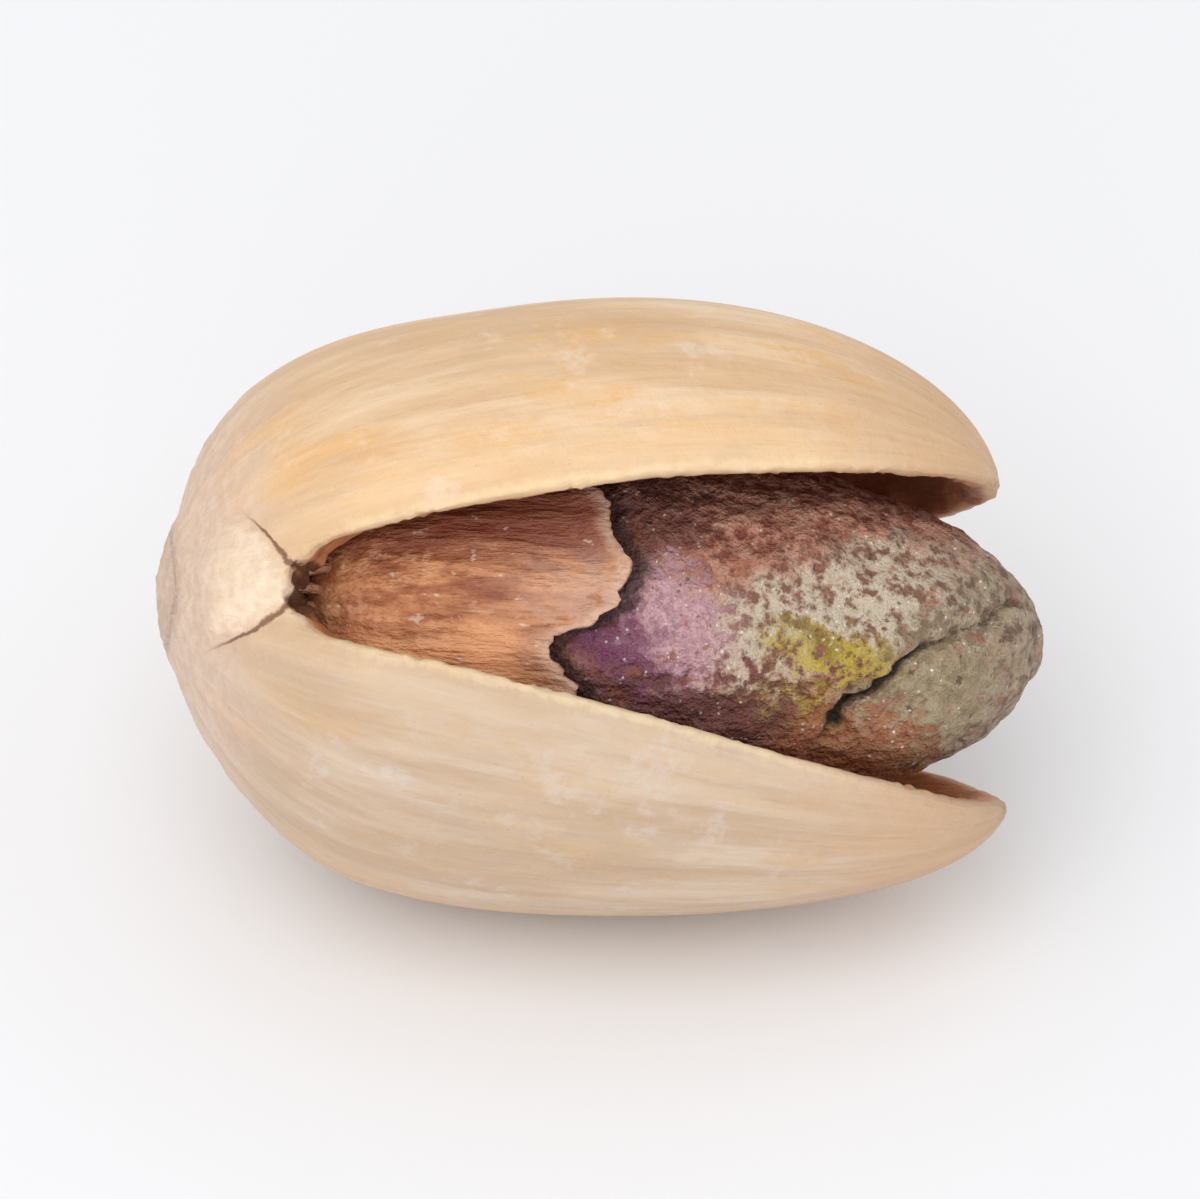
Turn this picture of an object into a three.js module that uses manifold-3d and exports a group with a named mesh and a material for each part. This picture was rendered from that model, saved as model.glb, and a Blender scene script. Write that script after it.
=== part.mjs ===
// A pistachio in its shell, split open, lying on a small flat spot of its lower valve.
// Three pieces: the bony shell, whose two valves still hold together at the stem end, the seed
// (kernel) inside it, and the papery seed coat that still wraps the kernel's stem-end half.
//
// Units are millimetres. The nut is shaped in its own frame first: the stem end is at the origin,
// +X runs to the apex, -Y is the ventral side where the split gapes widest, and +Z is the upper
// valve. It is then rolled and pitched as it lies, with +Z up.
//
// A profile says how a form swells along its length: it is fattest at fattestAt, its skew draws
// both ends out to a point, and its bluntness squares them again (2 is an ellipse).

import * as THREE from "three";
import { mergeVertices } from "three/addons/utils/BufferGeometryUtils.js";
import Module from "manifold-3d";

const degrees = THREE.MathUtils.degToRad;

// The shell: two boat-shaped valves, fattest about a third of the way from stem to apex. The rim
// is the outline along the suture, and the back is how deep a valve is behind it.
const SHELL = { width: 12.6, backWall: 0.9, lipWall: 0.62, stemWall: 1.3, stemAt: 0.45 };
const RIM = { fattestAt: 7.2, skew: 1.6, bluntness: 2.4 };
const UPPER_VALVE = {
  side: 1,
  length: 19.4,
  depth: 5.65,
  gape: degrees(10.3),
  bow: 0.5,
  back: { fattestAt: 7.8, skew: 0.6, bluntness: 2.75 },
};
const LOWER_VALVE = {
  side: -1,
  length: 20,
  depth: 5.45,
  gape: degrees(11),
  bow: 0.4,
  back: { fattestAt: 6.7, skew: 4, bluntness: 2.4 },
};

// The valves are warped: the ventral side has sprung open further, and most so at the apex.
const VENTRAL_GAPE = { atStem: degrees(3.5), atApex: degrees(8.5) };

// Where the ventral suture bows up between stem and apex, by each valve's bow.
const SUTURE_BOW = { middle: 10.8, reach: 9.2 };

// The stem end, where the valves stay joined as far as the round end of the slit.
const STEM_END = {
  length: 5,
  width: 12.6,
  depth: 10.6,
  lift: 0.2,
  profile: { fattestAt: 7, skew: 2, bluntness: 2.1 },
};
const SLIT = { at: [10.5, -6.5, 0.3], radii: [7.5, 5.5, 2.6] };

// The scar of the stalk, a low chip on the ventral side of the stem end.
const STEM_SCAR = { place: 2.1, height: 0.5, radii: [1.5, 0.5, 1.3], proud: 0.16, turn: degrees(-41) };

// The kernel: two seed leaves pressed together, parted by a cleft that shows towards the tip.
const KERNEL = {
  start: 2.5,
  end: 20.7,
  width: 9.3,
  depth: 8.6,
  droop: 0.01,
  profile: { fattestAt: 9.6, skew: 0.4, bluntness: 2.8 },
};
const CLEFT = {
  at: [18.1, -3.3, -0.35],
  normal: [-0.66, 0.25, 0.71],
  radius: 4.4,
  thickness: 0.6,
  depth: 0.55,
};

// The seed coat: a papery sleeve over the kernel, with the places of its torn edge, each as the
// angle up from the ventral side, in degrees, and the distance from the stem.
const COAT = { gap: 0.18, thickness: 0.34, room: 0.2 };
const TEAR = [
  [-180, 10.55],
  [-150, 10.05],
  [-120, 10.95],
  [-90, 10.35],
  [-60, 11.05],
  [-30, 10.15],
  [-12, 9.55],
  [-6, 9.85],
  [0, 10.85],
  [15, 11.15],
  [36, 10.15],
  [60, 10.85],
  [84, 10.15],
  [108, 11.05],
  [138, 10.45],
  [162, 11.15],
  [180, 10.55],
];

// How the nut lies: rolled so that the split faces up to one side, and pitched into balance.
const LIE = { roll: degrees(44), pitch: degrees(-2), spotDepth: 0.16 };

// Facets round the long axis and along it, with the coat's outside and inside.
const FACETS = {
  outside: [44, 30],
  cavity: [32, 22],
  stemEnd: [40, 24],
  slit: [20, 16],
  scar: [16, 10],
  kernel: [48, 30],
  cleft: [12, 24],
  coat: [60, 10, 7],
};

const COLOURS = { shell: 0xe6c79c, kernel: 0x9a8a62, coat: 0xb07a55 };

const wasm = await Module();
wasm.setup();

// A closed geometry as a solid that can be cut and joined.
function solidOf(geometry) {
  const bare = geometry.clone();
  bare.deleteAttribute("normal");
  bare.deleteAttribute("uv");
  const merged = mergeVertices(bare);
  return new wasm.Manifold(
    new wasm.Mesh({
      numProp: 3,
      vertProperties: merged.attributes.position.array,
      triVerts: new Uint32Array(merged.index.array),
    }),
  );
}

// A solid back as a three.js geometry.
function geometryOf(solid) {
  const mesh = solid.getMesh();
  const geometry = new THREE.BufferGeometry();
  geometry.setAttribute("position", new THREE.BufferAttribute(mesh.vertProperties, 3));
  geometry.setIndex(new THREE.BufferAttribute(mesh.triVerts, 1));
  return geometry;
}

// Moves every vertex of a geometry by a function that changes the point in place.
function shaped(geometry, move) {
  const position = geometry.getAttribute("position");
  const point = new THREE.Vector3();
  for (let i = 0; i < position.count; i++) {
    move(point.fromBufferAttribute(position, i));
    position.setXYZ(i, point.x, point.y, point.z);
  }
  return geometry;
}

// A unit ball with its poles on the long axis, ready to be shaped.
function ball([around, along]) {
  return new THREE.SphereGeometry(1, around, along).rotateZ(-Math.PI / 2);
}

// The place on the long axis of a share of a form's length: -1 at its start, 0 where it is
// fattest, 1 at its end. A cubic, so that the form has no kink between its ends.
function placeOf(share, { start, end, profile }) {
  const evenly = (end - start) / 2 - profile.skew;
  const forward = (end + start) / 2 - profile.fattestAt;
  return profile.fattestAt + share * (evenly + share * (forward + share * profile.skew));
}

// The share at a place, by halving.
function shareOf(place, form) {
  let [low, high] = [-1, 1];
  for (let i = 0; i < 30; i++) {
    const middle = (low + high) / 2;
    if (placeOf(middle, form) < place) low = middle;
    else high = middle;
  }
  return (low + high) / 2;
}

// How fat a form is at a place, from 0 at its ends to 1.
function fatness(place, form) {
  return Math.sqrt(Math.max(0, 1 - Math.abs(shareOf(place, form)) ** form.profile.bluntness));
}

// An egg of the given width and depth, whose depth may have a profile of its own.
function egg(form, facets) {
  const deep = { ...form, profile: form.back ?? form.profile };
  return shaped(ball(facets), (p) => {
    const round = Math.hypot(p.y, p.z);
    const [across, through] = round > 1e-6 ? [p.y / round, p.z / round] : [0, 0];
    p.x = placeOf(p.x, form);
    p.y = across * (form.width / 2) * fatness(p.x, form);
    p.z = through * (form.depth / 2) * fatness(p.x, deep);
  });
}

// A whole, closed shell with one valve's measures, drawn in by the walls given.
function closedShell(valve, facets, { stemWall = 0, lipWall = 0, backWall = 0 }) {
  const form = {
    start: stemWall,
    end: valve.length - lipWall,
    width: SHELL.width - 2 * lipWall,
    depth: 2 * (valve.depth - backWall),
    profile: RIM,
    back: valve.back,
  };
  return solidOf(egg(form, facets));
}

// Warps a valve open on the ventral side, and bows its suture.
function warpOpen(p, { side, length, bow }) {
  const { atStem, atApex } = VENTRAL_GAPE;
  const turn = -side * THREE.MathUtils.lerp(atStem, atApex, p.x / length);
  const ventral = Math.max(0, -p.y / (SHELL.width / 2));
  const along = (p.x - SUTURE_BOW.middle) / SUTURE_BOW.reach;
  p.applyAxisAngle(new THREE.Vector3(1, 0, 0), turn);
  p.z += bow * (1 - along * along) * ventral;
}

// A block that fills everything on one side of a plane across an axis.
function sideOf(axis, level, side) {
  const reach = 60;
  const block = new THREE.BoxGeometry(reach, reach, reach);
  const middle = new THREE.Vector3();
  middle[axis] = level + (side * reach) / 2;
  return block.translate(middle.x, middle.y, middle.z);
}

// One valve: half of the closed shell, cut along the suture and sprung open about the stem end.
function valveSolid(valve) {
  const whole = closedShell(valve, FACETS.outside, {});
  const hollow = whole.subtract(closedShell(valve, FACETS.cavity, SHELL));
  const half = geometryOf(hollow.intersect(solidOf(sideOf("z", 0, valve.side))));
  shaped(half, (p) => warpOpen(p, valve));
  half.rotateY(-valve.side * valve.gape);
  return solidOf(half.translate(SHELL.stemAt, 0, 0));
}

// How far the long axis of the kernel has sunk at a place.
function sunk(place) {
  return KERNEL.droop * (place - KERNEL.start);
}

// A form of the kernel's shape, grown all round by a margin.
function kernelForm(margin) {
  return {
    start: KERNEL.start - margin,
    end: KERNEL.end + margin,
    width: KERNEL.width + 2 * margin,
    depth: KERNEL.depth + 2 * margin,
    profile: KERNEL.profile,
  };
}

function kernelEgg(margin) {
  const geometry = egg(kernelForm(margin), FACETS.kernel);
  return solidOf(shaped(geometry, (p) => (p.z -= sunk(p.x))));
}

// The form of the joined stem end, drawn in by the walls given.
function stemForm({ stemWall = 0, backWall = 0 }) {
  return {
    start: stemWall,
    end: UPPER_VALVE.length - backWall,
    width: STEM_END.width - 2 * backWall,
    depth: STEM_END.depth - 2 * backWall,
    profile: STEM_END.profile,
  };
}

function stemEgg(walls, facets) {
  return solidOf(egg(stemForm(walls), facets).translate(0, 0, STEM_END.lift));
}

// The scar, laid flat on the ventral side of the stem end.
function scarSolid() {
  const { place, height, radii, proud, turn } = STEM_SCAR;
  const surface = (STEM_END.width / 2) * fatness(place, stemForm({}));
  const below = radii[1] - proud;
  const middle = [place - below * Math.sin(turn), -surface + below * Math.cos(turn), height];
  return solidOf(
    ball(FACETS.scar)
      .scale(...radii)
      .rotateZ(turn)
      .translate(...middle),
  );
}

// The joined stem end, which fills the wedge between the open valves as far as the slit, and
// leaves room for the seed in its coat.
function stemEndSolid() {
  const slit = ball(FACETS.slit)
    .scale(...SLIT.radii)
    .translate(...SLIT.at);
  return stemEgg({}, FACETS.stemEnd)
    .intersect(solidOf(sideOf("x", STEM_END.length, -1)))
    .add(scarSolid())
    .subtract(solidOf(slit))
    .subtract(stemEgg(SHELL, FACETS.cavity))
    .subtract(kernelEgg(COAT.gap + COAT.thickness + COAT.room));
}

// The kernel, with the cleft between its seed leaves cut as a shallow groove by a thin lens.
function kernelSolid() {
  const facing = new THREE.Vector3(...CLEFT.normal).normalize();
  const upright = new THREE.Vector3(1, 0, 0);
  const lens = ball(FACETS.cleft)
    .scale(CLEFT.thickness / 2, CLEFT.radius, CLEFT.radius)
    .applyQuaternion(new THREE.Quaternion().setFromUnitVectors(upright, facing))
    .translate(...CLEFT.at);
  return kernelEgg(0).subtract(solidOf(lens).subtract(kernelEgg(-CLEFT.depth)));
}

// Where the seed coat is torn off at an angle round the kernel.
function tearAt(angle) {
  const turn = THREE.MathUtils.radToDeg(angle);
  const next = Math.max(1, TEAR.findIndex(([place]) => place >= turn));
  const [[before, from], [after, to]] = [TEAR[next - 1], TEAR[next]];
  return THREE.MathUtils.mapLinear(turn, before, after, from, to);
}

// The seed coat: a thin cup lathed round the long axis, then fitted over the kernel and torn.
function coatGeometry() {
  const [around, outside, inside] = FACETS.coat;
  const profile = [];
  for (let i = 0; i <= outside; i++) profile.push(new THREE.Vector2(i ? 1 : 0, i / outside));
  for (let i = inside; i >= 0; i--) profile.push(new THREE.Vector2(i ? 0.5 : 0, i / inside));
  const cup = new THREE.LatheGeometry(profile, around).rotateZ(-Math.PI / 2);
  return shaped(cup, (p) => {
    const isInside = Math.hypot(p.y, p.z) < 0.75;
    const onAxis = Math.hypot(p.y, p.z) < 0.01;
    const form = kernelForm(COAT.gap + (isInside ? 0 : COAT.thickness));
    const angle = Math.atan2(p.z, -p.y);
    const reach = tearAt(angle) - form.start;
    p.x = form.start + reach * (1 - Math.cos((p.x * Math.PI) / 2));
    const fat = onAxis ? 0 : fatness(p.x, form);
    p.y = -(form.width / 2) * fat * Math.cos(angle);
    p.z = (form.depth / 2) * fat * Math.sin(angle) - sunk(p.x);
  });
}

// The flat spot that the nut rests on, cut across the lowest part of the lower valve.
function cutRestingSpot(solid, lie) {
  const standing = geometryOf(solid).applyMatrix4(lie);
  standing.computeBoundingBox();
  const under = sideOf("z", standing.boundingBox.min.z + LIE.spotDepth, -1);
  return solid.subtract(solidOf(under.applyMatrix4(lie.clone().invert())));
}

function piece(name, geometry, colour, roughness) {
  const flat = geometry.index ? geometry.toNonIndexed() : geometry;
  flat.computeVertexNormals();
  const material = new THREE.MeshStandardMaterial({ color: colour, roughness, metalness: 0 });
  const mesh = new THREE.Mesh(flat, material);
  mesh.name = name;
  return mesh;
}

const nut = new THREE.Group();
nut.rotation.set(-LIE.roll, -LIE.pitch, 0, "ZYX");
nut.updateMatrix();

const joined = valveSolid(UPPER_VALVE).add(valveSolid(LOWER_VALVE)).add(stemEndSolid());
nut.add(
  piece("shell", geometryOf(cutRestingSpot(joined, nut.matrix)), COLOURS.shell, 0.6),
  piece("kernel", geometryOf(kernelSolid()), COLOURS.kernel, 0.7),
  piece("seed_coat", coatGeometry(), COLOURS.coat, 0.8),
);

// The origin is on the surface that the nut lies on, under the middle of its box.
const pistachio = new THREE.Group();
pistachio.add(nut);
const box = new THREE.Box3().setFromObject(pistachio, true);
const middle = box.getCenter(new THREE.Vector3());
nut.position.set(-middle.x, -middle.y, -box.min.z);

export default pistachio;
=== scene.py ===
import math

import bpy
import numpy as np
from mathutils import Matrix, Vector


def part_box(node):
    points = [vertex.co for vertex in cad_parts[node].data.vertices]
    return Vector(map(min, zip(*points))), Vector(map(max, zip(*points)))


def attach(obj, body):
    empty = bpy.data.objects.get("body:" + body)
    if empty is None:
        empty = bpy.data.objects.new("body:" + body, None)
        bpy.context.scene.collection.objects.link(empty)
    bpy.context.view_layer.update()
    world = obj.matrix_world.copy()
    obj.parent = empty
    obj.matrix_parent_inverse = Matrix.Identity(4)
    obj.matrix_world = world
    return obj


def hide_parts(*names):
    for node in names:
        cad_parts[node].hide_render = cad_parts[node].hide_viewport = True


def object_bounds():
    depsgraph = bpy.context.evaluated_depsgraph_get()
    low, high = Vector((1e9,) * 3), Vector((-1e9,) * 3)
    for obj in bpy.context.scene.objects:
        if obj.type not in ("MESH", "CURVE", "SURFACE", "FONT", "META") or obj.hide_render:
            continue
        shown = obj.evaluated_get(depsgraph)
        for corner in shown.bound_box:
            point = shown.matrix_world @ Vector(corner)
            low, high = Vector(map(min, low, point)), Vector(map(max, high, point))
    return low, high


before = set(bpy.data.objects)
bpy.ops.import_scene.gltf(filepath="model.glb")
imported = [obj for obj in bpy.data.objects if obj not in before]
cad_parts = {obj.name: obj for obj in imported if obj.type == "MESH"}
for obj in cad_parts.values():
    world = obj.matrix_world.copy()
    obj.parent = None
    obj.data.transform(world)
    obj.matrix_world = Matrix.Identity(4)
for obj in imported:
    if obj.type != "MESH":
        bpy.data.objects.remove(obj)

cad_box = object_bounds()

# The kernel: one seed, two seed leaves under a thin skin. It has dried and wrinkled, salt clings to
# it, and towards the tip a cleft parts the seed leaves. It is modelled as the whole nut is, upright in
# millimetres: stem end at the origin, apex along +X, the split facing -Y and the upper valve at +Z.
KERNEL = {
    "start": 2.5, "end": 20.7, "width": 9.3, "depth": 8.6,
    "fattest": 9.6, "skew": 0.4, "bluntness": 2.8,
}
KERNEL_DROOP = 0.01
KERNEL_SHRINK = 0.06


def points_of(piece):
    flat = np.empty(len(piece.data.vertices) * 3)
    piece.data.vertices.foreach_get("co", flat)
    return flat.reshape(-1, 3)


def normals_of(piece):
    flat = np.empty(len(piece.data.vertices) * 3)
    piece.data.vertex_normals.foreach_get("vector", flat)
    return flat.reshape(-1, 3)


def move_points(piece, points):
    piece.data.vertices.foreach_set("co", np.ascontiguousarray(points).ravel())
    piece.data.update()


def only(piece):
    bpy.ops.object.select_all(action="DESELECT")
    piece.select_set(True)
    bpy.context.view_layer.objects.active = piece


def ball(name, fineness):
    bpy.ops.object.select_all(action="DESELECT")
    bpy.ops.mesh.primitive_ico_sphere_add(subdivisions=fineness, radius=1)
    piece = bpy.context.object
    piece.name = piece.data.name = name
    return piece


def smooth_step(value, low, high):
    share = np.clip((value - low) / (high - low), 0, 1)
    return share * share * (3 - 2 * share)


# A form swells along the nut by its profile: fattest at one place, with both ends drawn out by the
# skew and squared again by the bluntness.
HALVINGS = 36
ON_AXIS = 1e-5


def place_of(share, form):
    evenly = (form["end"] - form["start"]) / 2 - form["skew"]
    forward = (form["end"] + form["start"]) / 2 - form["fattest"]
    return form["fattest"] + share * (evenly + share * (forward + share * form["skew"]))


def fatness(place, form):
    low = np.full_like(place, -1.0)
    high = np.full_like(place, 1.0)
    for _ in range(HALVINGS):
        middle = (low + high) / 2
        before = place_of(middle, form) < place
        low = np.where(before, middle, low)
        high = np.where(before, high, middle)
    return np.sqrt(np.clip(1 - np.abs(low) ** form["bluntness"], 0, None))


def shape_egg(piece, form, deep=None):
    along, across, through = points_of(piece).T
    girth = np.hypot(across, through)
    girth = np.where(girth < ON_AXIS, np.inf, girth)
    x = place_of(along, form)
    y = across / girth * form["width"] / 2 * fatness(x, form)
    z = through / girth * form["depth"] / 2 * fatness(x, deep or form)
    move_points(piece, np.stack([x, y, z], axis=1))


# The kernel hangs a little towards its tip.
def sunk(x):
    return KERNEL_DROOP * (x - KERNEL["start"])


# Rolling hills on a unit lattice, whose slopes are scrambled from each corner's place, and a relief
# that adds them at finer and finer scales.
CORNER_STRIDES = np.array([374761393, 668265263, 1440662683])
SEED_STRIDE = 974634777
SCRAMBLE = 1274126177
SCRAMBLE_SHIFT = 13
LOW_BITS = 0xFFFFFFFF


def hills(points, seed):
    corner = np.floor(points).astype(np.int64)
    offset = points - corner
    blend = offset ** 3 * (offset * (offset * 6 - 15) + 10)
    total = np.zeros(len(points))
    for step in np.ndindex(2, 2, 2):
        mixed = (corner + step) @ CORNER_STRIDES + seed * SEED_STRIDE
        slope = np.zeros(len(points))
        for axis in range(3):
            mixed = ((mixed ^ (mixed >> SCRAMBLE_SHIFT)) * SCRAMBLE) & LOW_BITS
            slope += (mixed / (LOW_BITS // 2) - 1) * (offset[:, axis] - step[axis])
        total += slope * np.prod(np.where(step, blend, 1 - blend), axis=1)
    return total


def relief(points, height, size, octaves, seed, stretch=(1, 1, 1)):
    scaled = points / (size * np.array(stretch))
    return height * sum(hills(scaled * 2.0 ** i, seed + i) / 2.0 ** i for i in range(octaves))


kernel = ball("kernel_seed", fineness=7)
shape_egg(kernel, KERNEL)
smooth_kernel = points_of(kernel)
smooth_kernel[:, 2] -= sunk(smooth_kernel[:, 0])
move_points(kernel, smooth_kernel)

# The nut lies rolled and pitched onto the flat spot of its lower valve, where the frame has it.
MM = 0.001
ROLL = math.radians(44)
PITCH = math.radians(-2)
nut_turn = Matrix.Rotation(-PITCH, 3, "Y") @ Matrix.Rotation(-ROLL, 3, "X")
turned_kernel = smooth_kernel @ np.array(nut_turn).T * MM
stem_place = (np.array(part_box("kernel")) - [turned_kernel.min(0), turned_kernel.max(0)]).mean(0)


def lay_down(piece):
    laid = points_of(piece) @ np.array(nut_turn).T * MM + stem_place
    laid[:, 2] = np.maximum(laid[:, 2], 0)
    move_points(piece, laid)
    only(piece)
    bpy.ops.object.shade_smooth()


# The cleft wanders between two swollen shoulders, and opens towards its lower end.
CLEFT_AT = np.array([18.1, -3.3, -0.35])
CLEFT_FACING = np.array([-0.66, 0.25, 0.71])
CLEFT_REACH = 4.4
CLEFT_FULL = CLEFT_REACH * 0.55
CLEFT_DEPTH = 0.5
CLEFT_WIDTH = 0.10
CLEFT_WIDENING = 0.03
CLEFT_OPENS = (18.8, 16.4)
SHOULDER_HEIGHT = 0.12
SHOULDER_AWAY = 0.75
SHOULDER_WIDTH = 0.45
facing = CLEFT_FACING / np.linalg.norm(CLEFT_FACING)
wander = relief(smooth_kernel, height=0.30, size=1.4, octaves=2, seed=7)
wander += relief(smooth_kernel, height=0.22, size=0.5, octaves=2, seed=17)
from_cleft = (smooth_kernel - CLEFT_AT) @ facing + wander
cleft_fade = smooth_step(np.linalg.norm(smooth_kernel - CLEFT_AT, axis=1), CLEFT_REACH, CLEFT_FULL)
cleft_open = smooth_step(smooth_kernel[:, 0], *CLEFT_OPENS)
cleft_width = CLEFT_WIDTH + CLEFT_WIDENING * cleft_open
groove = np.exp(-((from_cleft / cleft_width) ** 2)) * cleft_fade * (1 + cleft_open) / 2
shoulder = np.exp(-(((np.abs(from_cleft) - SHOULDER_AWAY) / SHOULDER_WIDTH) ** 2)) * cleft_fade

wrinkles = relief(smooth_kernel, height=0.34, size=2.6, octaves=3, seed=1, stretch=(1.7, 1, 1))
pimples = relief(smooth_kernel, height=0.16, size=0.8, octaves=4, seed=4)
swell = wrinkles + pimples + SHOULDER_HEIGHT * shoulder - CLEFT_DEPTH * groove - KERNEL_SHRINK
move_points(kernel, smooth_kernel + normals_of(kernel) * swell[:, None])

# The torn edge of the coat, along which a shadow is painted on the skin: angle up from the ventral
# side, in degrees, and distance from the stem.
TEAR = np.array([
    [-180, 10.55], [-150, 10.05], [-120, 10.95], [-90, 10.35], [-60, 11.05], [-30, 10.15],
    [-20, 9.75], [-12, 9.5], [-7, 9.8], [-4, 10.45], [2, 10.85], [15, 11.15], [24, 10.7],
    [36, 10.15], [60, 10.85], [84, 10.15], [108, 11.05], [138, 10.45], [162, 11.15], [180, 10.55],
])
TEAR_SHIFT = -0.15


def torn_edge(angle):
    ring = np.stack([np.cos(angle), np.sin(angle), angle * 0], axis=1) * KERNEL["width"] / 2
    ragged = relief(ring, height=0.5, size=1.0, octaves=3, seed=2)
    ragged += relief(ring, height=0.22, size=0.25, octaves=2, seed=9)
    return np.interp(np.degrees(angle), TEAR[:, 0], TEAR[:, 1]) + ragged + TEAR_SHIFT


def keep(piece, name, values):
    values = np.asarray(values, dtype=np.float32)
    is_vector = values.ndim == 2
    attribute = piece.data.attributes.new(name, "FLOAT_VECTOR" if is_vector else "FLOAT", "POINT")
    attribute.data.foreach_set("vector" if is_vector else "value", values.ravel())


around_kernel = np.arctan2(smooth_kernel[:, 2] + sunk(smooth_kernel[:, 0]), -smooth_kernel[:, 1])
keep(kernel, "cleft", groove)
keep(kernel, "beyond_coat", smooth_kernel[:, 0] - torn_edge(around_kernel))
lay_down(kernel)


# A value stands for a socket of a finish, and sums on values become maths nodes.
class Value:
    def __init__(self, finish, socket):
        self.finish = finish
        self.socket = socket

    def maths(self, operation, first, second=0.0):
        return self.finish.add("Math", {"operation": operation}, [first, second])

    def __add__(self, other):
        return self.maths("ADD", self, other)

    def __sub__(self, other):
        return self.maths("SUBTRACT", self, other)

    def __rsub__(self, other):
        return self.maths("SUBTRACT", other, self)

    def __mul__(self, other):
        return self.maths("MULTIPLY", self, other)

    def __truediv__(self, other):
        return self.maths("DIVIDE", self, other)

    def __rtruediv__(self, other):
        return self.maths("DIVIDE", other, self)

    def __abs__(self):
        return self.maths("ABSOLUTE", self)

    __radd__ = __add__
    __rmul__ = __mul__

    # A mask that rises from 0 at the start to 1 where it is full.
    def fade(self, start, full):
        sockets = {"Value": self, "From Min": start, "From Max": full}
        return self.finish.add("MapRange", {"interpolation_type": "SMOOTHSTEP"}, sockets)

    # A noise lies about a half, and its swing about zero.
    def swing(self, width):
        return (self - 0.5) * width


# A finish is one material, painted in layers. A mask says where a layer shows, and how strongly.
class Finish:
    def __init__(self, name):
        self.material = bpy.data.materials.new(name)
        self.material.use_nodes = True
        self.tree = self.material.node_tree
        self.shader = self.tree.nodes["Principled BSDF"]

    def add(self, kind, settings, sockets, out=0):
        node = self.tree.nodes.new("ShaderNode" + kind)
        for name, value in settings.items():
            setattr(node, name, value)
        self.plug(node, sockets)
        return Value(self, node.outputs[out])

    def plug(self, node, sockets):
        pairs = sockets.items() if isinstance(sockets, dict) else enumerate(sockets)
        for name, value in pairs:
            if isinstance(value, Value):
                self.tree.links.new(value.socket, node.inputs[name])
            else:
                node.inputs[name].default_value = value

    def mix(self, mask, first, second, blend="MIX"):
        settings = {"data_type": "RGBA", "blend_type": blend}
        return self.add("Mix", settings, {0: mask, 6: first, 7: second}, out=2)

    def ground(self, mask, dark, light):
        self.colour = self.mix(mask, dark, light)

    def paint(self, colour, mask, blend="MIX"):
        self.colour = self.mix(mask, self.colour, colour, blend)

    def noise(self, place, scale, detail=4, stretch=(1, 1, 1), roughness=0.6):
        spread = self.add("VectorMath", {"operation": "MULTIPLY"}, [place, stretch])
        sockets = {"Vector": spread, "Scale": scale, "Detail": detail, "Roughness": roughness}
        return self.add("TexNoise", {}, sockets)

    def nut_place(self):
        inverse = nut_turn.transposed()
        sockets = {
            "Vector": self.add("TexCoord", {}, {}, out="Object"),
            "Location": -(inverse @ Vector(stem_place)) / MM,
            "Rotation": inverse.to_euler(),
            "Scale": (1 / MM,) * 3,
        }
        return self.add("Mapping", {"vector_type": "POINT"}, sockets)

    def along_and_up(self, place):
        return [self.add("SeparateXYZ", {}, [place], out=axis) for axis in "XZ"]

    def spot(self, axes, middle, radii, outer=1.6, inner=0.3):
        along, up = [(axis - at) / radius for axis, at, radius in zip(axes, middle, radii)]
        return (along * along + up * up).fade(outer, inner)

    def attribute(self, name, out="Fac"):
        return self.add("Attribute", {"attribute_name": name}, {}, out=out)

    def wear(self, piece, roughness, height, bump_depth):
        bump = {"Height": height, "Distance": bump_depth * MM, "Strength": 1.0}
        normal = self.add("Bump", {}, bump)
        self.plug(self.shader, {"Base Color": self.colour, "Roughness": roughness, "Normal": normal})
        piece.data.materials.clear()
        piece.data.materials.append(self.material)


def srgb(red, green, blue):
    def linear(value):
        value /= 255
        return value / 12.92 if value <= 0.04045 else ((value + 0.055) / 1.055) ** 2.4
    return (linear(red), linear(green), linear(blue), 1)


BROWN_SKIN = (srgb(132, 68, 50), srgb(200, 144, 120))
DUSTY_BROWN = srgb(176, 136, 116)
GREY_SKIN = (srgb(116, 88, 68), srgb(178, 160, 134))
GREY_TAN = srgb(164, 134, 106)
LOBE_OLIVE = srgb(170, 154, 118)
CREAM_SKIN = (srgb(134, 92, 74), srgb(210, 192, 168))
CREAM_AT = (15.5, 0.25)
CREAM_SLANT = 0.35
GREEN_SKIN = (srgb(150, 126, 42), srgb(194, 168, 62))
GREEN_SPOTS = [((15.0, -0.5), (1.1, 0.55)), ((16.3, -0.8), (0.9, 0.5)), ((14.9, -1.9), (1.3, 0.5))]
PURPLE_SKIN = (srgb(126, 66, 98), srgb(212, 168, 172))
PLUM_SPECK = srgb(148, 98, 116)
UPPER_LIP_SHADE_RED = srgb(104, 58, 52)
LOWER_LIP_SHADE_RED = srgb(116, 70, 68)
LOBE_AMBER = srgb(184, 118, 76)
RUST = srgb(164, 94, 70)
PIT_BROWN = srgb(92, 60, 46)
SALT = srgb(246, 242, 236)
COAT_EDGE_SHADOW = srgb(58, 30, 28)
CLEFT_SHADE = srgb(48, 31, 21)

skin = Finish("kernel_skin")
place = skin.nut_place()
x, z = skin.along_and_up(place)
blotch = skin.noise(place, scale=0.5)
mottle = skin.noise(place, scale=1.5)
crust = skin.noise(place, scale=3.0)
speck = skin.noise(place, scale=6.0, detail=3)
dust = skin.noise(place, scale=12, detail=2)
ragged_x = x + blotch.swing(2.4) + crust.swing(1.6)
ragged_z = z + mottle.swing(2.2) + crust.swing(1.4)
ragged = (ragged_x, ragged_z)
skin.ground(crust.fade(0.36, 0.62), *BROWN_SKIN)
skin.paint(DUSTY_BROWN, mottle.fade(0.52, 0.66) * 0.5)
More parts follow.
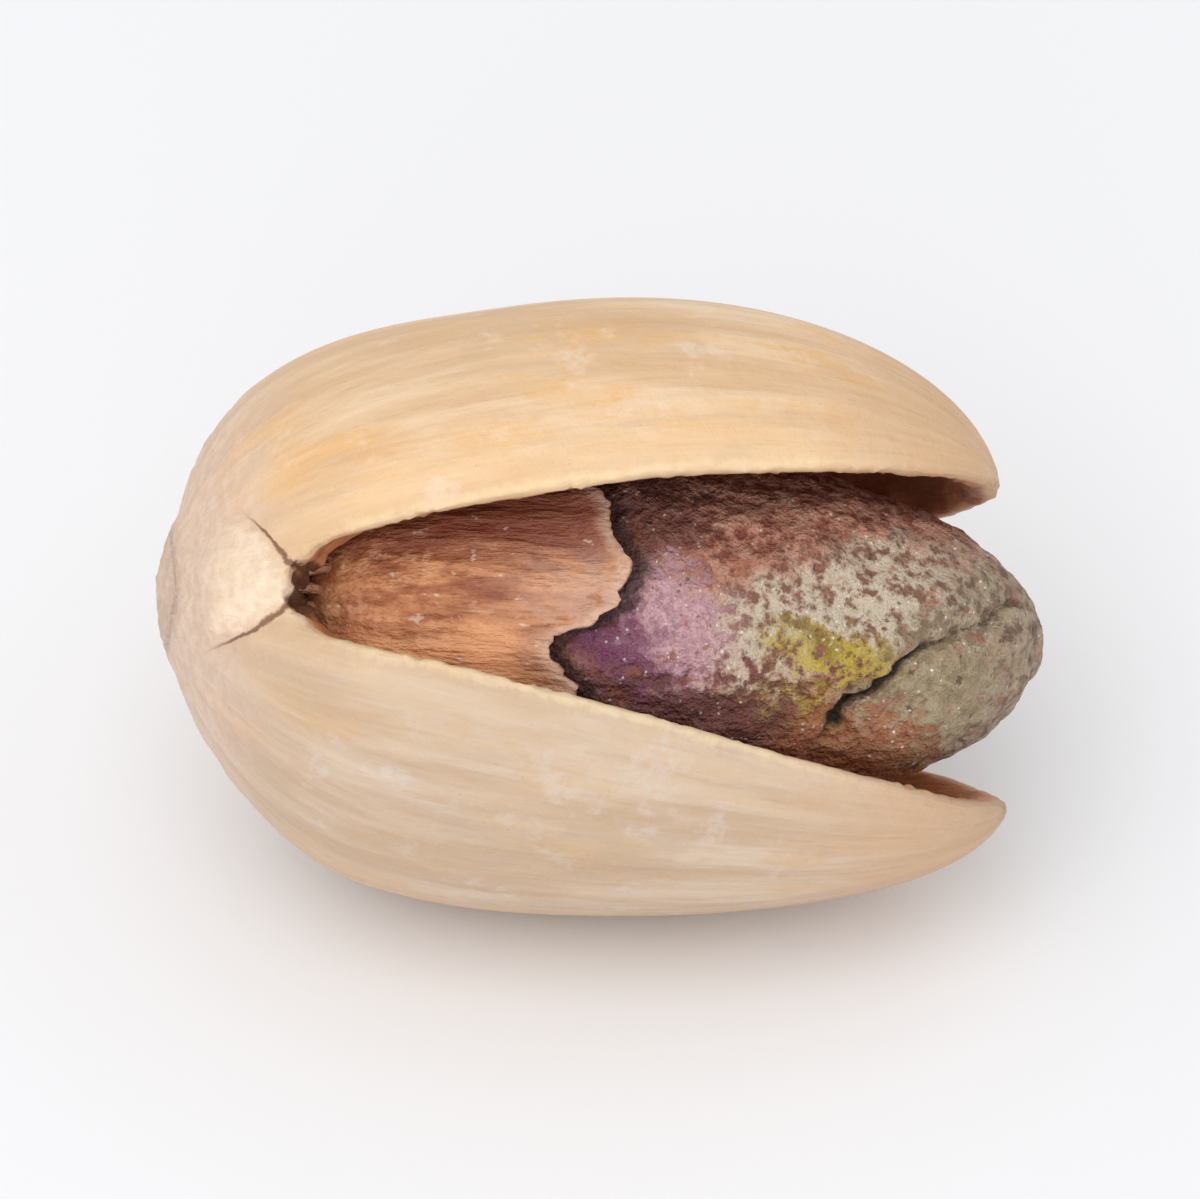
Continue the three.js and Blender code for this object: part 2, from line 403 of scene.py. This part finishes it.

# Patches from the tip down to the coat: grey, olive, cream, green, purple and amber, with painted
# shade in dark red under the upper lip and along the lower lip.
grey = skin.mix(crust.fade(0.34, 0.62), *GREY_SKIN)
grey = skin.mix(mottle.fade(0.50, 0.66) * 0.6, grey, GREY_TAN)
skin.paint(grey, ragged_x.fade(15.2, 17.6) * ragged_z.fade(2.6, 1.2))
lobe = skin.spot(ragged, middle=(18.2, -1.4), radii=(1.6, 1.1))
skin.paint(LOBE_OLIVE, lobe * 0.5)
slanted = (ragged_x, ragged_z - (ragged_x - CREAM_AT[0]) * CREAM_SLANT)
cream = skin.mix(crust.fade(0.38, 0.54), *CREAM_SKIN)
skin.paint(cream, skin.spot(slanted, middle=CREAM_AT, radii=(3.3, 1.4)))
green = skin.mix(mottle.fade(0.40, 0.60), *GREEN_SKIN)
green_zone = sum(skin.spot(ragged, middle, radii) for middle, radii in GREEN_SPOTS)
skin.paint(green, green_zone * speck.fade(0.34, 0.50) * 0.85)
purple = skin.mix((ragged_x + ragged_z * 0.5).fade(10.3, 12.0), *PURPLE_SKIN)
purple = skin.mix(speck.fade(0.58, 0.44) * 0.35, purple, PLUM_SPECK)
skin.paint(purple, skin.spot(ragged, middle=(11.6, -0.5), radii=(1.7, 1.7)))
# Painted shade under the upper lip, in dark red.
upper_shade = skin.spot(ragged, middle=(11.4, 2.2), radii=(1.8, 1.0))
skin.paint(UPPER_LIP_SHADE_RED, upper_shade * 0.75)
# Painted shade along the lower lip, where the kernel meets it.
lower_lip_shade = ragged_z.fade(-1.2, -1.9) * ragged_x.fade(15.6, 14.4)
skin.paint(LOWER_LIP_SHADE_RED, lower_lip_shade * 0.85)
amber = skin.spot(ragged, middle=(16.4, -2.8), radii=(2.0, 0.8))
skin.paint(LOBE_AMBER, amber * 0.7)

# Rust, pits and grains of salt all over, a painted shadow along the coat's edge and painted shade in
# the cleft.
rust = skin.noise(place, scale=2.2).fade(0.57, 0.66)
skin.paint(RUST, rust * 0.65)
pit = skin.noise(place, scale=3.6, detail=3).fade(0.62, 0.70)
skin.paint(PIT_BROWN, pit * 0.7)
grain = skin.add("TexVoronoi", {"feature": "F1"}, {"Vector": place, "Scale": 5.0, "Randomness": 1.0})
salt = (grain + dust.swing(0.4) + mottle.swing(0.6)).fade(0.22, 0.08) * crust.fade(0.42, 0.58)
skin.paint(SALT, salt * 0.8)
# Painted shadow cast by the coat's raised edge onto the skin.
coat_edge_shadow = (skin.attribute("beyond_coat") + crust.swing(0.5)).fade(0.70, 0.25)
skin.paint(COAT_EDGE_SHADOW, coat_edge_shadow * 0.8)
# Painted shade deep in the cleft.
skin.paint(CLEFT_SHADE, skin.attribute("cleft").fade(0.30, 0.75))
skin_height = mottle * 0.5 + crust * 0.45 + speck * 0.2
skin.wear(kernel, roughness=0.62 + salt * 0.25, height=skin_height, bump_depth=0.42)
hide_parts("kernel")
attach(kernel, "root")

# The seed coat: a dry, papery skin that still wraps the stem half of the kernel. It has torn off
# across the middle, and its ragged edge curls up and stands a little proud of the seed.
COAT_MARGIN = 0.34
COAT_THICKNESS = 0.24
CURL_HEIGHT = 0.22
CURL_REACH = 0.6
COAT_POLE = 1e-4
ROUGH_FROM = (0.02, 0.2)


def grown_kernel(margin):
    return dict(
        KERNEL,
        start=KERNEL["start"] - margin,
        end=KERNEL["end"] + margin,
        width=KERNEL["width"] + 2 * margin,
        depth=KERNEL["depth"] + 2 * margin,
    )


def bisect(piece, place, facing, fill=False):
    only(piece)
    bpy.ops.object.mode_set(mode="EDIT")
    bpy.ops.mesh.select_all(action="SELECT")
    bpy.ops.mesh.bisect(plane_co=place, plane_no=facing, clear_inner=True, use_fill=fill)
    bpy.ops.object.mode_set(mode="OBJECT")


def apply_modifier(piece, kind, **settings):
    only(piece)
    modifier = piece.modifiers.new(kind.lower(), kind)
    for name, value in settings.items():
        setattr(modifier, name, value)
    bpy.ops.object.modifier_apply(modifier=modifier.name)


# Half a ball is drawn out over the kernel, from the stem end to the tear.
coat_form = grown_kernel(COAT_MARGIN)
coat = ball("seed_coat_skin", fineness=7)
bisect(coat, (0, 0, 0), (-1, 0, 0))
cup = points_of(coat)
angle = np.arctan2(cup[:, 2], -cup[:, 1])
share = np.arccos(np.clip(-cup[:, 0], -1, 1)) / (math.pi / 2)
torn = torn_edge(angle)
coat_x = coat_form["start"] + (torn - coat_form["start"]) * (1 - np.cos(share * math.pi / 2))
fat = np.where(share < COAT_POLE, 0, fatness(coat_x, coat_form))
around = np.stack([angle * 0, -np.cos(angle), np.sin(angle)], axis=1)
radii = np.stack([fat * 0, coat_form["width"] / 2 * fat, coat_form["depth"] / 2 * fat], axis=1)
sheet = around * radii
sheet[:, 0] = coat_x
sheet[:, 2] -= sunk(coat_x)

to_edge = torn - coat_x
fibres = relief(sheet, height=0.05, size=0.5, octaves=3, seed=3, stretch=(7, 1, 1))
folds = relief(sheet, height=0.10, size=2.0, octaves=2, seed=5, stretch=(2.5, 1, 1))
curl = CURL_HEIGHT + relief(sheet, height=0.3, size=1.2, octaves=1, seed=6)
curl *= np.exp(-((to_edge / CURL_REACH) ** 2))
coat_lift = (fibres + folds + curl) * smooth_step(share, *ROUGH_FROM)
move_points(coat, sheet + around * coat_lift[:, None])
keep(coat, "to_edge", to_edge)
apply_modifier(coat, "SOLIDIFY", thickness=COAT_THICKNESS, offset=0)

# Shreds of it bridge the narrow start of the split, fanning out from the stem end to the coat. Every
# third one is nearly as pale as the torn edge.
SHREDS = 9
SHRED_AT_STEM = np.array([3.08, -4.45, 0.14])
SHRED_AT_COAT = np.array([4.5, -3.35, 0.1])
FAN_AT_STEM = 0.39
FAN_AT_COAT = 0.97
SCATTER_AT_STEM = np.array([[0, 0.25], [0, 0.35]])
SCATTER_AT_COAT = np.array([[-0.3, 0.5], [-0.15, 0.1]])
SHRED_THICKNESS = (0.05, 0.13)
SHRED_FLATNESS = 0.7
SHRED_BEND = 0.2
ROUGH_APART = 9
PALE_SHRED = 0.25
DARK_SHRED = 5.0
SHRED_SEED = 5
draw = np.random.default_rng(SHRED_SEED)
shreds = []
for number, fan in enumerate(np.linspace(-1, 1, SHREDS)):
    near_stem = SHRED_AT_STEM + [*draw.uniform(*SCATTER_AT_STEM.T), FAN_AT_STEM * fan]
    near_coat = SHRED_AT_COAT + [*draw.uniform(*SCATTER_AT_COAT.T), FAN_AT_COAT * fan]
    shred = ball("shred", fineness=4)
    along, across, through = points_of(shred).T
    flat = np.stack([along, across * SHRED_FLATNESS, through], axis=1)
    rough = relief(flat + ROUGH_APART * number, height=0.5, size=0.5, octaves=2, seed=20)
    thick = draw.uniform(*SHRED_THICKNESS) * (1 + rough)
    bend = np.outer(1 - along ** 2, draw.uniform(-SHRED_BEND, SHRED_BEND, 3))
    strand = (near_stem + near_coat) / 2 + np.outer(along, (near_coat - near_stem) / 2) + bend
    strand[:, 1] += across * thick
    strand[:, 2] += through * thick
    move_points(shred, strand)
    keep(shred, "to_edge", np.full(len(strand), PALE_SHRED if number % 3 == 1 else DARK_SHRED))
    shreds.append(shred)
only(coat)
for shred in shreds:
    shred.select_set(True)
bpy.ops.object.join()
lay_down(coat)

PAPER_BROWN = (srgb(146, 76, 40), srgb(214, 148, 102))
PALE_THREAD = srgb(230, 178, 136)
DARK_THREAD = srgb(122, 64, 36)
DARK_FLAKE = srgb(154, 80, 46)
PALE_FLAKE = srgb(232, 182, 142)
FADED_PAPER = srgb(212, 170, 146)
ORANGE_PAPER = srgb(248, 178, 126)
PAPER_LIP_SHADOW = srgb(124, 54, 32)
STEM_BROWN = srgb(110, 60, 34)
FRAYED_PAPER = srgb(222, 186, 160)
SALTED_PAPER = srgb(232, 206, 184)

paper = Finish("seed_coat_paper")
place = paper.nut_place()
x, z = paper.along_and_up(place)
fibre = paper.noise(place, scale=2.2, stretch=(0.14, 1, 1))
thread = paper.noise(place, scale=7.0, detail=3, stretch=(0.12, 1, 1))
blotch = paper.noise(place, scale=0.8)
flake = paper.noise(place, scale=2.6, stretch=(0.6, 1, 1))
paper.ground(fibre.fade(0.34, 0.64), *PAPER_BROWN)
paper.paint(PALE_THREAD, thread.fade(0.56, 0.72) * 0.4)
paper.paint(DARK_THREAD, thread.fade(0.44, 0.30) * 0.5)
paper.paint(DARK_FLAKE, flake.fade(0.54, 0.64) * 0.55)
paper.paint(PALE_FLAKE, flake.fade(0.42, 0.32) * 0.4)
faded = (x + blotch.swing(3)).fade(7.0, 10.5) * flake.fade(0.34, 0.54)
paper.paint(FADED_PAPER, faded * 0.75)
orange = (z + blotch.swing(2.5)).fade(0.0, -1.4) * x.fade(9.5, 7.5)
paper.paint(ORANGE_PAPER, orange * 0.85)
# Painted shadow of the upper lip across the top of the coat, in dark red.
red = (z + flake.swing(1.2)).fade(0.7, 1.7)
paper.paint(PAPER_LIP_SHADOW, red * 0.85)
at_stem = (x + blotch.swing(2.5)).fade(5.2, 3.4)
paper.paint(STEM_BROWN, at_stem * 0.6)
frayed = (paper.attribute("to_edge") + flake.swing(0.5)).fade(0.40, 0.05)
paper.paint(FRAYED_PAPER, frayed * 0.5)
salted = paper.noise(place, scale=4.0, detail=3, stretch=(0.5, 1, 1)).fade(0.64, 0.72)
paper.paint(SALTED_PAPER, salted * 0.55)
paper_height = fibre * 0.5 + thread * 0.25 + flake * 0.4
paper.wear(coat, roughness=0.64 - fibre * 0.2, height=paper_height, bump_depth=0.34)
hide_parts("seed_coat")
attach(coat, "root")

# The shell: a hard, bony cup of two boat-shaped valves, sprung open along the suture by drying and
# roasting, and still joined at the stem end. The lips are thinner than the backs of the valves.
SHELL_WIDTH = 12.6
BACK_WALL = 0.9
LIP_WALL = 0.62
STEM_AT = np.array([0.45, 0, 0])
RIM = {"fattest": 7.2, "skew": 1.6, "bluntness": 2.4}
UPPER = {
    "side": 1, "length": 19.4, "depth": 5.65, "gape": math.radians(10.3), "bow": 0.5,
    "back": {"fattest": 7.8, "skew": 0.6, "bluntness": 2.75},
}
LOWER = {
    "side": -1, "length": 20.0, "depth": 5.45, "gape": math.radians(11), "bow": 0.4,
    "back": {"fattest": 6.7, "skew": 4.0, "bluntness": 2.4},
}
GAPE_AT_STEM = math.radians(3.5)
GAPE_AT_APEX = math.radians(8.5)
BOW_MIDDLE = 10.8
BOW_REACH = 9.2
LEAST_DEPTH = 0.01
UNBENDINGS = 3


def valve_forms(valve):
    form = dict(RIM, start=0, end=valve["length"], width=SHELL_WIDTH, depth=2 * valve["depth"])
    return form, dict(form, **valve["back"])


def turn_about_length(points, turn):
    x, y, z = points.T
    across = y * np.cos(turn) - z * np.sin(turn)
    up = y * np.sin(turn) + z * np.cos(turn)
    return np.stack([x, across, up], axis=1)


# The valves turn apart on the ventral side, more towards the apex, and their lips bow.
def warp_of(x, y, valve):
    turn = -valve["side"] * (GAPE_AT_STEM + (GAPE_AT_APEX - GAPE_AT_STEM) * x / valve["length"])
    along = (x - BOW_MIDDLE) / BOW_REACH
    bow = valve["bow"] * (1 - along * along) * np.maximum(0, -y / (SHELL_WIDTH / 2))
    return turn, bow


def gape_of(valve):
    return np.array(Matrix.Rotation(-valve["side"] * valve["gape"], 3, "Y"))


def sprung_open(points, valve):
    turn, bow = warp_of(points[:, 0], points[:, 1], valve)
    points = turn_about_length(points, turn)
    points[:, 2] += bow
    return points @ gape_of(valve).T + STEM_AT


def closed_again(points, valve):
    points = (points - STEM_AT) @ gape_of(valve)
    before = points
    for _ in range(UNBENDINGS):
        turn, bow = warp_of(points[:, 0], before[:, 1], valve)
        before = turn_about_length(points - np.outer(bow, [0, 0, 1]), -turn)
    return before


def make_valve(name, valve):
    piece = ball(name, fineness=7)
    form, deep = valve_forms(valve)
    shape_egg(piece, form, deep)
    bisect(piece, (0, 0, 0), (0, 0, valve["side"]))
    points = points_of(piece)
    full_depth = np.maximum(valve["depth"] * fatness(points[:, 0], deep), LEAST_DEPTH)
    wall = LIP_WALL + (BACK_WALL - LIP_WALL) * np.clip(np.abs(points[:, 2]) / full_depth, 0, 1)
    group = piece.vertex_groups.new(name="wall")
    for index, thickness in enumerate(wall):
        group.add([index], thickness / BACK_WALL, "REPLACE")
    apply_modifier(piece, "SOLIDIFY", thickness=BACK_WALL, offset=-1, vertex_group="wall")
    move_points(piece, sprung_open(points_of(piece), valve))
    return piece


upper_valve = make_valve("upper_valve", UPPER)
lower_valve = make_valve("lower_valve", LOWER)

# The joined stem end fills the wedge between the valves as far as the round end of the slit, and
# leaves room for the seed.
STEM_END = {
    "start": 0, "end": UPPER["length"], "width": SHELL_WIDTH, "depth": 10.6,
    "fattest": 7, "skew": 2, "bluntness": 2.1,
}
STEM_END_LENGTH = 5
STEM_END_LIFT = 0.2
SLIT_AT = np.array([10.5, -6.5, 0.14])
SLIT_RADII = np.array([7.75, 5.5, 2.8])
SLIT_POINTING = 0.25
SEED_ROOM = 0.75
VOXEL = 0.135
SMOOTHINGS = 5

stem_end = ball("stem_end", fineness=6)
shape_egg(stem_end, STEM_END)
move_points(stem_end, points_of(stem_end) + [0, 0, STEM_END_LIFT])
bisect(stem_end, (STEM_END_LENGTH, 0, 0), (-1, 0, 0), fill=True)

slit = ball("slit", fineness=5)
lens = points_of(slit)
lens[:, 2] *= np.clip(1 - lens[:, 0] ** 2, 0, 1) ** SLIT_POINTING
move_points(slit, lens * SLIT_RADII + SLIT_AT)
seed_bed = ball("seed_bed", fineness=6)
shape_egg(seed_bed, grown_kernel(SEED_ROOM))
bed_points = points_of(seed_bed)
bed_points[:, 2] -= sunk(bed_points[:, 0])
move_points(seed_bed, bed_points)
for cutter in (slit, seed_bed):
    apply_modifier(stem_end, "BOOLEAN", operation="DIFFERENCE", object=cutter, solver="MANIFOLD")
    bpy.data.objects.remove(cutter)

shell = upper_valve
only(shell)
lower_valve.select_set(True)
stem_end.select_set(True)
bpy.ops.object.join()
shell.name = shell.data.name = "split_shell"
apply_modifier(shell, "REMESH", mode="VOXEL", voxel_size=VOXEL, adaptivity=0)
shell.vertex_groups.clear()
apply_modifier(shell, "SMOOTH", factor=0.5, iterations=SMOOTHINGS)

# A pale, swollen chip on the ventral side of the stem end, between two cracks that widen into the
# slit. Its points are along the nut and up.
CHIP = np.array([
    [1.20, 1.90], [2.10, 1.72], [2.75, 1.08], [3.05, 0.66], [3.48, 0.04], [3.20, -0.20],
    [2.47, -0.77], [1.73, -1.10], [1.15, -1.30], [0.75, 0.30],
])
CRACKS = [
    np.array([[1.85, 1.98], [2.20, 1.70], [2.55, 1.36], [2.85, 1.00], [3.30, 0.62]]),
    np.array([[1.15, -1.42], [1.73, -1.16], [2.40, -0.84], [2.95, -0.42], [3.45, -0.12]]),
]
VENTRAL_FROM = -1.5
FAR_FROM_CHIP = -5
FAR_FROM_CRACKS = 9
CHIP_SWELL = 0.32
CHIP_EDGE = (-0.12, 0.85)
CRACK_DEPTH = 0.09
CRACK_WIDTH = 0.13
CRACK_TAPER = (0.05, 0.9)
CRACK_WIDENS = (0.8, 2.2)
NARROW_CRACK = 0.7
WIDE_CRACK = 2.0


# How far a point lies to the left of a line of straight runs, and how far along it.
def beside_line(flat_points, line):
    beside = np.full(len(flat_points), np.inf)
    along = np.zeros(len(flat_points))
    passed = 0
    for start, end in zip(line, line[1:]):
        run = end - start
        length = np.linalg.norm(run)
        offset = flat_points - start
        share = np.clip(offset @ run / length ** 2, 0, 1)
        apart = np.linalg.norm(offset - np.outer(share, run), axis=1)
        left = np.sign(run[0] * offset[:, 1] - run[1] * offset[:, 0])
        nearer = apart < np.abs(beside)
        beside = np.where(nearer, left * apart, beside)
        along = np.where(nearer, passed + share * length, along)
        passed += length
    return beside, along


def inside_outline(flat_points, outline):
    within = np.ones(len(flat_points), dtype=bool)
    for start, end in zip(outline, np.roll(outline, -1, axis=0)):
        run = end - start
        offset = flat_points - start
        within &= run[0] * offset[:, 1] - run[1] * offset[:, 0] < 0
    return within


shell_points = points_of(shell)
front = shell_points[:, [0, 2]]
is_ventral = shell_points[:, 1] < VENTRAL_FROM
to_chip_edge = np.abs(beside_line(front, np.vstack([CHIP, CHIP[:1]]))[0])
in_chip = to_chip_edge * np.where(inside_outline(front, CHIP), 1, -1)
in_chip = np.where(is_ventral, in_chip, FAR_FROM_CHIP)
(upper_crack, upper_way), (lower_crack, lower_way) = [beside_line(front, line) for line in CRACKS]
upper_nearer = np.abs(upper_crack) < np.abs(lower_crack)
from_crack = np.where(upper_nearer, upper_crack, -lower_crack)
crack_way = np.where(upper_nearer, upper_way, lower_way)
crack_taper = smooth_step(crack_way, *CRACK_TAPER)
crack_spread = NARROW_CRACK + (WIDE_CRACK - NARROW_CRACK) * smooth_step(crack_way, *CRACK_WIDENS)
from_crack = np.where(is_ventral, from_crack, FAR_FROM_CRACKS) / crack_spread
crack_depth = CRACK_DEPTH * np.exp(-((from_crack / CRACK_WIDTH) ** 2)) * crack_taper

# Where each point of the shell is: how far from the lip, how deep in the wall, and along the grain.
END_TRIM = 0.05
SLOPE_STEP = 0.02
GRAIN_ROUND = 6
in_upper = closed_again(shell_points, UPPER)
in_lower = closed_again(shell_points, LOWER)
is_upper = in_upper[:, 2] > -in_lower[:, 2]
in_valve = np.where(is_upper[:, None], in_upper, in_lower)
side = np.where(is_upper, 1, -1)


def cross_section(points, valve):
    form, deep = valve_forms(valve)
    x = np.clip(points[:, 0], END_TRIM, valve["length"] - END_TRIM)
    across = points[:, 1] / (SHELL_WIDTH / 2 * fatness(x, form))
    through = points[:, 2] / (valve["depth"] * fatness(x, deep))
    return np.stack([across, through], axis=1)


# Millimetres below the outer surface: the shortfall from the full cross section over its slope.
def depth_in_wall(points, valve):
    def size_at(places):
        return np.linalg.norm(cross_section(places, valve), axis=1)
    size = size_at(points)
    rises = [size_at(points + aside) - size for aside in np.eye(3) * SLOPE_STEP]
    slope = np.linalg.norm(rises, axis=0) / SLOPE_STEP
    to_ends = np.minimum(points[:, 0], valve["length"] - points[:, 0])
    return np.minimum((1 - size) / slope, to_ends)


section = np.where(is_upper[:, None], cross_section(in_upper, UPPER), cross_section(in_lower, LOWER))
wall_depth = np.where(is_upper, depth_in_wall(in_upper, UPPER), depth_in_wall(in_lower, LOWER))
from_lip = np.abs(in_valve[:, 2])
around_grain = section * GRAIN_ROUND
grain = np.stack([in_valve[:, 0], around_grain[:, 0], around_grain[:, 1] * side], axis=1)

# Lips are jagged in places, the outside ripples along the grain and flakes at the stem end, and the
# start of the slit is frayed.
LIP_REACH = 0.30
LIP_JAGS = 0.12
LIP_STARTS = (3.2, 4.4)
LEAST_JAGGED = 0.2
MOST_JAGGED = 1.5
RIPPLE_ENDS = (0.35, 0.12)
FLAKES_END = (3.2, 1.4)
FLAKE_DEPTH = (0.45, 0.12)
FRAY_AT = np.array([3.60, 0.14])
FRAY_RADII = np.array([0.65, 0.75])
at_lip = np.exp(-((from_lip / LIP_REACH) ** 2)) * smooth_step(shell_points[:, 0], *LIP_STARTS)
jagged = relief(shell_points, height=2.5, size=1.6, octaves=2, seed=18)
jagged = LEAST_JAGGED + np.clip(jagged, 0, MOST_JAGGED)
jags = jagged * relief(shell_points, height=1, size=0.30, octaves=2, seed=11, stretch=(1, 1.6, 1.6))
jags += relief(shell_points, height=0.6, size=1.3, octaves=1, seed=15)
ripple = relief(grain, height=0.05, size=2.0, octaves=2, seed=12, stretch=(5, 1, 1))
ripple *= smooth_step(wall_depth, *RIPPLE_ENDS)
flakes = relief(shell_points, height=0.07, size=0.7, octaves=3, seed=19)
flakes *= smooth_step(shell_points[:, 0], *FLAKES_END) * smooth_step(wall_depth, *FLAKE_DEPTH)
fray = np.exp(-(((front - FRAY_AT) / FRAY_RADII) ** 2).sum(1)) * is_ventral
frayed = fray * relief(shell_points, height=0.5, size=0.45, octaves=3, seed=16)
shell_lift = ripple + CHIP_SWELL * smooth_step(in_chip, *CHIP_EDGE) - crack_depth + frayed + flakes
rough_shell = shell_points + normals_of(shell) * shell_lift[:, None]
rough_shell[:, 2] += side * at_lip * LIP_JAGS * jags
move_points(shell, rough_shell)
keep(shell, "from_lip", from_lip)
keep(shell, "wall_depth", wall_depth)
keep(shell, "chip", in_chip)
keep(shell, "crack", from_crack)
keep(shell, "crack_taper", crack_taper)
keep(shell, "fray", fray)
keep(shell, "grain", grain)
lay_down(shell)

BONE = (srgb(222, 184, 142), srgb(240, 209, 172))
ORANGE_BONE = srgb(234, 178, 106)
DULL_BONE = srgb(212, 180, 146)
PALE_HAIR = srgb(250, 230, 204)
DARK_HAIR = srgb(206, 156, 110)
PORE_BROWN = srgb(190, 140, 96)
HAZE_WHITE = srgb(244, 226, 206)
CHALK = (srgb(216, 187, 169), srgb(228, 204, 188))
UNDERSIDE_SHADE = srgb(227, 234, 250)
APEX_SHADE_AND_REFLECTION = srgb(206, 164, 124)
LIP_CREAM = srgb(248, 222, 178)
INNER_BROWN = (srgb(146, 84, 56), srgb(194, 130, 88))
INNER_ORANGE = srgb(204, 132, 82)
CHIP_CREAM = (srgb(234, 206, 176), srgb(246, 224, 198))
CRACK_BROWN = srgb(118, 72, 44)
FRAY_BROWN = srgb(88, 54, 36)

bone = Finish("shell_bone")
place = bone.nut_place()
x, z = bone.along_and_up(place)
grain_place = bone.attribute("grain", out="Vector")
lip_distance = bone.attribute("from_lip")
depth = bone.attribute("wall_depth")
cloud = bone.noise(place, scale=0.7)
streak = bone.noise(grain_place, scale=0.9, stretch=(0.16, 1, 1))
hair = bone.noise(grain_place, scale=3.2, detail=3, stretch=(0.10, 1, 1))
fleck = bone.noise(place, scale=3.2)
# The underside mask: where shade is painted on the lower part of the nut.
under = (z + cloud.swing(2)).fade(0.5, -2.5)
chalk = (x + cloud.swing(2.5)).fade(3.4, 0.6)
bone.ground(streak.fade(0.34, 0.66), *BONE)

# Orange and dull streaks, fine hairs, pores and a pale haze, with the stem end chalky, painted shade
# on the underside, darker, cooler and less orange, and painted shade and warm reflected light at the
# apex.
soft = bone.noise(grain_place, scale=0.42, detail=3, stretch=(0.4, 1, 1))
orange = (soft + streak.swing(0.7) + cloud.swing(0.4)).fade(0.48, 0.66)
orange = orange * (0.6 - under * 0.2) * (0.45 + lip_distance.fade(0.4, 2.4) * 0.55)
bone.paint(ORANGE_BONE, orange)
dull = bone.noise(grain_place, scale=0.6, stretch=(0.5, 1, 1)).fade(0.54, 0.66)
bone.paint(DULL_BONE, dull * 0.4)
bone.paint(PALE_HAIR, hair.fade(0.54, 0.74) * 0.20)
bone.paint(DARK_HAIR, hair.fade(0.44, 0.30) * 0.20)
pore = bone.noise(place, scale=7.0, detail=2).fade(0.70, 0.76)
bone.paint(PORE_BROWN, pore * 0.3)
haze = cloud.fade(0.54, 0.68) * fleck.fade(0.36, 0.60)
bone.paint(HAZE_WHITE, haze * 0.4)
bone.paint(bone.mix(fleck.fade(0.34, 0.66), *CHALK), chalk * 0.75)
# Painted shade: darker and cooler towards the underside.
bone.paint(UNDERSIDE_SHADE, under * (1 - chalk * 0.7), blend="MULTIPLY")
# Painted shade and warm reflected light towards the apex, in tan.
apex = (x + cloud.swing(3)).fade(14.0, 18.5)
bone.paint(APEX_SHADE_AND_REFLECTION, apex * 0.6)

# Pale lips, the brown lining, and the chip with its cracks and the frayed start of the slit.
lip = (lip_distance + fleck.swing(0.5)).fade(0.34, 0.06) * x.fade(3.5, 5.0) * x.fade(18, 14)
bone.paint(LIP_CREAM, lip * 0.5)
lining = bone.mix(cloud.fade(0.40, 0.62), *INNER_BROWN)
lining = bone.mix(z.fade(0.5, -1.5) * 0.8, lining, INNER_ORANGE)
bone.paint(lining, depth.fade(0.26, 0.56))
chip = (bone.attribute("chip") + fleck.swing(0.5)).fade(-0.10, 0.35)
chip = chip * (x + cloud.swing(1.5)).fade(1.0, 2.1)
bone.paint(bone.mix(fleck.fade(0.30, 0.70), *CHIP_CREAM), chip)
crack = abs(bone.attribute("crack") + fleck.swing(0.16)).fade(0.07, 0.02)
bone.paint(CRACK_BROWN, crack * bone.attribute("crack_taper") * 0.85)
fray_brown = (bone.attribute("fray") + fleck.swing(0.8) + depth * 0.27).fade(0.55, 0.80)
bone.paint(FRAY_BROWN, fray_brown * x.fade(6, 5) * 0.9)
bone_height = streak * 0.5 + hair * 0.25 + fleck * 0.3
bone.wear(shell, roughness=0.44 + fleck * 0.2 + chalk * 0.2, height=bone_height, bump_depth=0.17)
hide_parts("shell")
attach(shell, "root")

# The floor: a plain, pale, matt sheet that the nut lies on. It is staging and no piece of the nut.
FLOOR_SIZE = 2
FLOOR_WHITE = srgb(246, 247, 250)
bpy.ops.object.select_all(action="DESELECT")
bpy.ops.mesh.primitive_plane_add(size=FLOOR_SIZE, location=(0, 0, 0))
floor = bpy.context.object
floor.name = "floor"
matt = Finish("floor_white")
matt.plug(matt.shader, {"Base Color": FLOOR_WHITE, "Roughness": 0.9})
floor.data.materials.append(matt.material)

# The soft light of a white studio: white walls, a large lamp overhead, a little to the left, and a
# weaker one low in front.
WHITE = (1, 1, 1, 1)
WALL_STRENGTH = 0.80
world = bpy.data.worlds.new("studio")
world.use_nodes = True
walls = world.node_tree.nodes["Background"]
walls.inputs["Color"].default_value = WHITE
walls.inputs["Strength"].default_value = WALL_STRENGTH
bpy.context.scene.world = world
bpy.context.scene.view_settings.view_transform = "Standard"


def softbox(name, place, target, size, power):
    bpy.ops.object.light_add(type="AREA", location=place)
    light = bpy.context.object
    light.name = name
    light.data.shape = "DISK"
    light.data.size = size
    light.data.energy = power
    light.rotation_euler = (Vector(target) - Vector(place)).to_track_quat("-Z", "Y").to_euler()


softbox("overhead", place=(-0.07, -0.19, 0.33), target=(0, 0, 0.006), size=0.36, power=0.41)
softbox("front", place=(-0.04, -0.34, 0.07), target=(0, 0, 0.004), size=0.26, power=0.22)

# The camera looks down on the split from the ventral side, a little off square, and close enough for
# the nut to fill most of the frame.
CAMERA_AZIMUTH = math.radians(2)
CAMERA_ELEVATION = math.radians(41)
CAMERA_DISTANCE = 0.60
CAMERA_TARGET = Vector((0, 0, 0.0072))
CAMERA_NEAR = 0.01
FRAME_SHARE = 0.74
bpy.ops.object.camera_add()
camera = bpy.context.object
toward = Vector((
    -math.sin(CAMERA_AZIMUTH) * math.cos(CAMERA_ELEVATION),
    math.cos(CAMERA_AZIMUTH) * math.cos(CAMERA_ELEVATION),
    -math.sin(CAMERA_ELEVATION),
))
camera.location = CAMERA_TARGET - toward * CAMERA_DISTANCE
camera.rotation_euler = toward.to_track_quat("-Z", "Y").to_euler()
nut_length = cad_box[1][0] - cad_box[0][0]
camera.data.lens = camera.data.sensor_width * CAMERA_DISTANCE * FRAME_SHARE / nut_length
camera.data.clip_start = CAMERA_NEAR
bpy.context.scene.camera = camera
